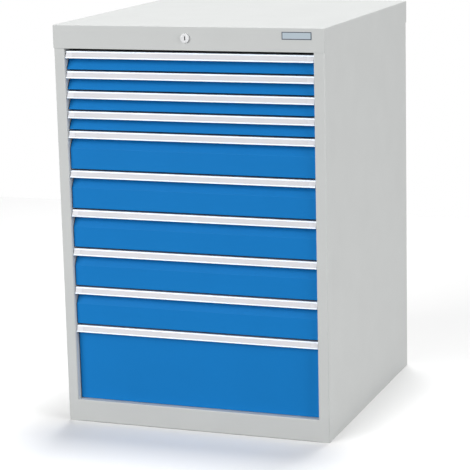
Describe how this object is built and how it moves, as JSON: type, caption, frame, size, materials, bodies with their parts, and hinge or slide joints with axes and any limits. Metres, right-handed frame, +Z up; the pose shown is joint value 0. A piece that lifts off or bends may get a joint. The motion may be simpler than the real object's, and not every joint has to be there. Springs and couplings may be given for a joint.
{
  "type": "drawer cabinet",
  "caption": "Free-standing steel workshop cabinet: drawers of three heights on telescopic rails, full-width grip strips, a central lock and a plinth.",
  "frame": {"origin": "on the floor, in the middle of the cabinet's plan, lock head included", "axes": "+Z up; -Y out of the front, the way the drawers open; +X to the right, facing it"},
  "size_m": [0.705, 0.74, 1.019],
  "materials": {
    "casing_paint": "pale grey powder coat with a fine orange peel",
    "front_paint": "light blue powder coat, semi-gloss",
    "handle_metal": "extruded, pale satin",
    "tray_paint": "grey powder coat",
    "zinc_steel": "bright zinc plating",
    "lock_metal": "satin nickel plating",
    "nameplate": "bare satin field with a thin dark border",
    "rivets": "blind rivets"
  },
  "bodies": {
    "casing": {"side_panel_left": "casing_paint", "side_panel_right": "casing_paint", "top_cover": "casing_paint", "plinth_frame": "casing_paint", "floor_plate": "casing_paint", "rear_panel": "casing_paint", "rear_panel_rivets": "rivets", "nameplate": "nameplate", "lock_housing": "lock_metal", "lock_nut": "lock_metal", "lock_shaft_bracket": "zinc_steel", "uprights_left": "zinc_steel", "uprights_right": "zinc_steel", "cabinet_rails_left": "zinc_steel", "cabinet_rails_right": "zinc_steel", "locking_bar_guides": "zinc_steel"},
    "lock": {"lock_plug": "lock_metal", "lock_shaft": "zinc_steel"},
    "locking_bar": {"locking_bar": "zinc_steel", "locking_hooks": "zinc_steel"},
    "drawer_01": {"drawer_01_tray": "tray_paint", "drawer_01_front": "front_paint", "drawer_01_handle": "handle_metal"},
    "slide_01": {"drawer_01_slides": "zinc_steel"},
    "drawer_02": {"drawer_02_tray": "tray_paint", "drawer_02_front": "front_paint", "drawer_02_handle": "handle_metal"},
    "slide_02": {"drawer_02_slides": "zinc_steel"},
    "drawer_03": {"drawer_03_tray": "tray_paint", "drawer_03_front": "front_paint", "drawer_03_handle": "handle_metal"},
    "slide_03": {"drawer_03_slides": "zinc_steel"},
    "drawer_04": {"drawer_04_tray": "tray_paint", "drawer_04_front": "front_paint", "drawer_04_handle": "handle_metal"},
    "slide_04": {"drawer_04_slides": "zinc_steel"},
    "drawer_05": {"drawer_05_tray": "tray_paint", "drawer_05_front": "front_paint", "drawer_05_handle": "handle_metal"},
    "slide_05": {"drawer_05_slides": "zinc_steel"},
    "drawer_06": {"drawer_06_tray": "tray_paint", "drawer_06_front": "front_paint", "drawer_06_handle": "handle_metal"},
    "slide_06": {"drawer_06_slides": "zinc_steel"},
    "drawer_07": {"drawer_07_tray": "tray_paint", "drawer_07_front": "front_paint", "drawer_07_handle": "handle_metal"},
    "slide_07": {"drawer_07_slides": "zinc_steel"},
    "drawer_08": {"drawer_08_tray": "tray_paint", "drawer_08_front": "front_paint", "drawer_08_handle": "handle_metal"},
    "slide_08": {"drawer_08_slides": "zinc_steel"},
    "drawer_09": {"drawer_09_tray": "tray_paint", "drawer_09_front": "front_paint", "drawer_09_handle": "handle_metal"},
    "slide_09": {"drawer_09_slides": "zinc_steel"},
    "drawer_10": {"drawer_10_tray": "tray_paint", "drawer_10_front": "front_paint", "drawer_10_handle": "handle_metal"},
    "slide_10": {"drawer_10_slides": "zinc_steel"}
  },
  "joints": [
    {"name": "lock_turn", "type": "hinge", "parent": "casing", "child": "lock", "pos_m": [0, -0.366, 0.9905], "axis": [0, -1, 0], "range_deg": [0, 90]},
    {"name": "locking_bar_lift", "type": "slide", "parent": "casing", "child": "locking_bar", "axis": [0, 0, 1], "range_m": [0, 0.0127]},
    {"name": "drawer_01_travel", "type": "slide", "parent": "casing", "child": "drawer_01", "axis": [0, -1, 0], "range_m": [0, 0.6]},
    {"name": "slide_01_travel", "type": "slide", "parent": "casing", "child": "slide_01", "axis": [0, -1, 0], "range_m": [0, 0.3]},
    {"name": "drawer_02_travel", "type": "slide", "parent": "casing", "child": "drawer_02", "axis": [0, -1, 0], "range_m": [0, 0.6]},
    {"name": "slide_02_travel", "type": "slide", "parent": "casing", "child": "slide_02", "axis": [0, -1, 0], "range_m": [0, 0.3]},
    {"name": "drawer_03_travel", "type": "slide", "parent": "casing", "child": "drawer_03", "axis": [0, -1, 0], "range_m": [0, 0.6]},
    {"name": "slide_03_travel", "type": "slide", "parent": "casing", "child": "slide_03", "axis": [0, -1, 0], "range_m": [0, 0.3]},
    {"name": "drawer_04_travel", "type": "slide", "parent": "casing", "child": "drawer_04", "axis": [0, -1, 0], "range_m": [0, 0.6]},
    {"name": "slide_04_travel", "type": "slide", "parent": "casing", "child": "slide_04", "axis": [0, -1, 0], "range_m": [0, 0.3]},
    {"name": "drawer_05_travel", "type": "slide", "parent": "casing", "child": "drawer_05", "axis": [0, -1, 0], "range_m": [0, 0.6]},
    {"name": "slide_05_travel", "type": "slide", "parent": "casing", "child": "slide_05", "axis": [0, -1, 0], "range_m": [0, 0.3]},
    {"name": "drawer_06_travel", "type": "slide", "parent": "casing", "child": "drawer_06", "axis": [0, -1, 0], "range_m": [0, 0.6]},
    {"name": "slide_06_travel", "type": "slide", "parent": "casing", "child": "slide_06", "axis": [0, -1, 0], "range_m": [0, 0.3]},
    {"name": "drawer_07_travel", "type": "slide", "parent": "casing", "child": "drawer_07", "axis": [0, -1, 0], "range_m": [0, 0.6]},
    {"name": "slide_07_travel", "type": "slide", "parent": "casing", "child": "slide_07", "axis": [0, -1, 0], "range_m": [0, 0.3]},
    {"name": "drawer_08_travel", "type": "slide", "parent": "casing", "child": "drawer_08", "axis": [0, -1, 0], "range_m": [0, 0.6]},
    {"name": "slide_08_travel", "type": "slide", "parent": "casing", "child": "slide_08", "axis": [0, -1, 0], "range_m": [0, 0.3]},
    {"name": "drawer_09_travel", "type": "slide", "parent": "casing", "child": "drawer_09", "axis": [0, -1, 0], "range_m": [0, 0.6]},
    {"name": "slide_09_travel", "type": "slide", "parent": "casing", "child": "slide_09", "axis": [0, -1, 0], "range_m": [0, 0.3]},
    {"name": "drawer_10_travel", "type": "slide", "parent": "casing", "child": "drawer_10", "axis": [0, -1, 0], "range_m": [0, 0.6]},
    {"name": "slide_10_travel", "type": "slide", "parent": "casing", "child": "slide_10", "axis": [0, -1, 0], "range_m": [0, 0.3]}
  ],
  "couplings": [
    {"joint": "lock_turn", "follows": "locking_bar_lift", "rad_per_m": 123.41},
    {"joint": "slide_01_travel", "follows": "drawer_01_travel", "ratio": 0.5},
    {"joint": "slide_02_travel", "follows": "drawer_02_travel", "ratio": 0.5},
    {"joint": "slide_03_travel", "follows": "drawer_03_travel", "ratio": 0.5},
    {"joint": "slide_04_travel", "follows": "drawer_04_travel", "ratio": 0.5},
    {"joint": "slide_05_travel", "follows": "drawer_05_travel", "ratio": 0.5},
    {"joint": "slide_06_travel", "follows": "drawer_06_travel", "ratio": 0.5},
    {"joint": "slide_07_travel", "follows": "drawer_07_travel", "ratio": 0.5},
    {"joint": "slide_08_travel", "follows": "drawer_08_travel", "ratio": 0.5},
    {"joint": "slide_09_travel", "follows": "drawer_09_travel", "ratio": 0.5},
    {"joint": "slide_10_travel", "follows": "drawer_10_travel", "ratio": 0.5}
  ]
}
